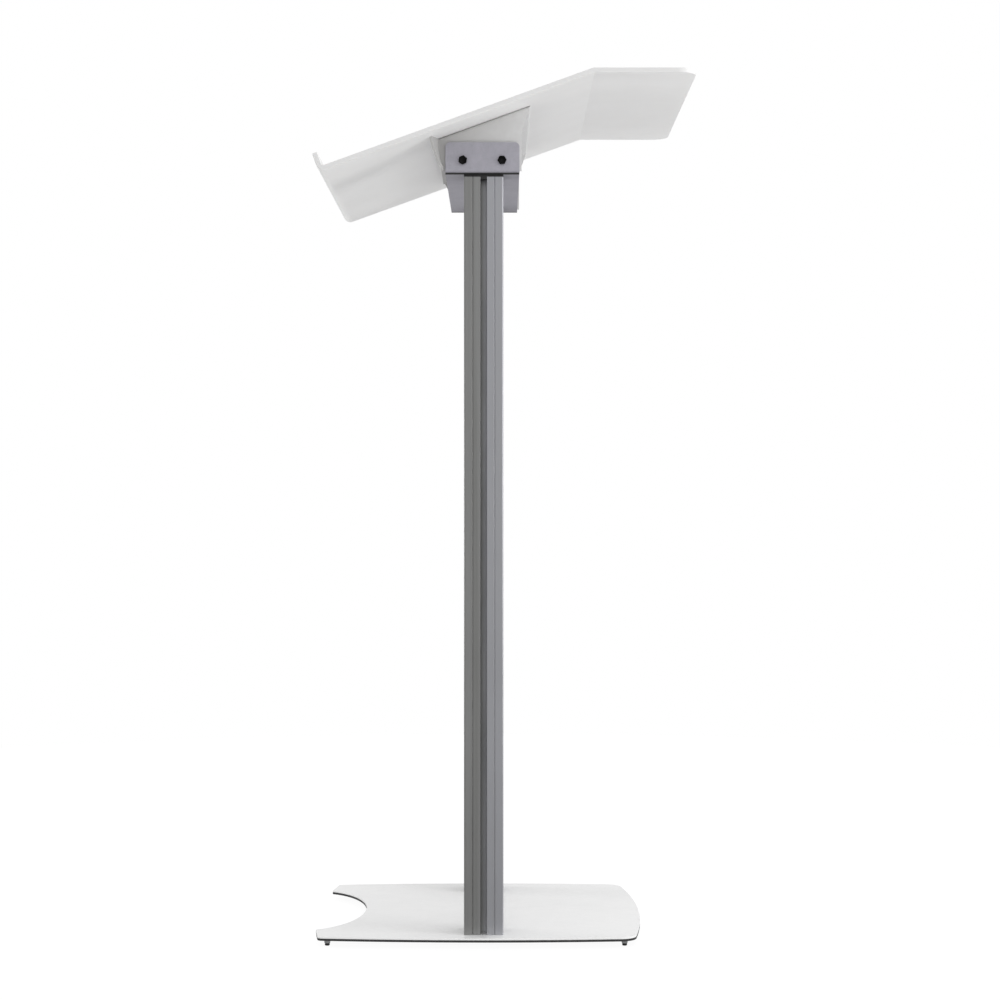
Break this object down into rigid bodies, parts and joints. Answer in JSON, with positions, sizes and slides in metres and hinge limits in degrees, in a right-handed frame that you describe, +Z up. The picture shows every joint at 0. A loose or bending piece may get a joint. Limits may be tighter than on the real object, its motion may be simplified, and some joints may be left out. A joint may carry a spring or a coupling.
{
  "type": "lectern stand",
  "caption": "Free-standing lectern: sloping folded desk with a book lip and a level shelf, held by a bracket on slotted posts over a toe-notched base sheet with levelling feet.",
  "frame": {"origin": "on the floor, under the middle of the whole stand's outline", "axes": "+X points to the audience, +Z up, +Y to the speaker's left hand"},
  "size_m": [0.4802, 0.5, 1.0979],
  "materials": {
    "dark_steel": "satin dark coat on a laser-cut steel plate",
    "white_sheet": "smooth white coat, half gloss, fine orange peel",
    "white_coat": "white powder coat, satin, fine texture",
    "grey_coat": "silver-grey metallic powder coat, satin",
    "anodised": "natural anodised extrusion with fine die lines along its length",
    "black_plastic": "black moulded plastic, fine grain",
    "black_oxide": "black oxide on steel, slightly worn at the edges",
    "zinc_plate": "bright zinc plate",
    "white_acrylic": "opal white acrylic, satin faces and polished edges",
    "tip_rubber": "black rubber"
  },
  "bodies": {
    "stand": {"base_plate": "dark_steel", "base_cover": "white_sheet", "foot_bushes": "zinc_plate", "base_screws": "zinc_plate", "base_washers": "zinc_plate", "base_dowels": "zinc_plate", "post_right": "anodised", "post_left": "anodised", "post_cap_right": "black_plastic", "post_cap_left": "black_plastic", "saddle_screws": "zinc_plate", "saddle_washers": "zinc_plate", "saddle": "grey_coat", "cradle": "white_coat", "ear_bolts": "black_oxide", "ear_washers": "black_oxide", "ear_nuts": "black_oxide", "desk": "white_acrylic", "desk_screws": "zinc_plate", "desk_washers": "zinc_plate", "desk_nuts": "zinc_plate"},
    "foot_speaker_right": {"foot_stud_speaker_right": "zinc_plate", "foot_tip_speaker_right": "tip_rubber"},
    "foot_speaker_left": {"foot_stud_speaker_left": "zinc_plate", "foot_tip_speaker_left": "tip_rubber"},
    "foot_audience_right": {"foot_stud_audience_right": "zinc_plate", "foot_tip_audience_right": "tip_rubber"},
    "foot_audience_left": {"foot_stud_audience_left": "zinc_plate", "foot_tip_audience_left": "tip_rubber"}
  },
  "joints": [
    {"name": "level_speaker_right", "type": "slide", "parent": "stand", "child": "foot_speaker_right", "axis": [0, 0, -1], "range_m": [0, 0.004]},
    {"name": "level_speaker_left", "type": "slide", "parent": "stand", "child": "foot_speaker_left", "axis": [0, 0, -1], "range_m": [0, 0.004]},
    {"name": "level_audience_right", "type": "slide", "parent": "stand", "child": "foot_audience_right", "axis": [0, 0, -1], "range_m": [0, 0.004]},
    {"name": "level_audience_left", "type": "slide", "parent": "stand", "child": "foot_audience_left", "axis": [0, 0, -1], "range_m": [0, 0.004]}
  ]
}
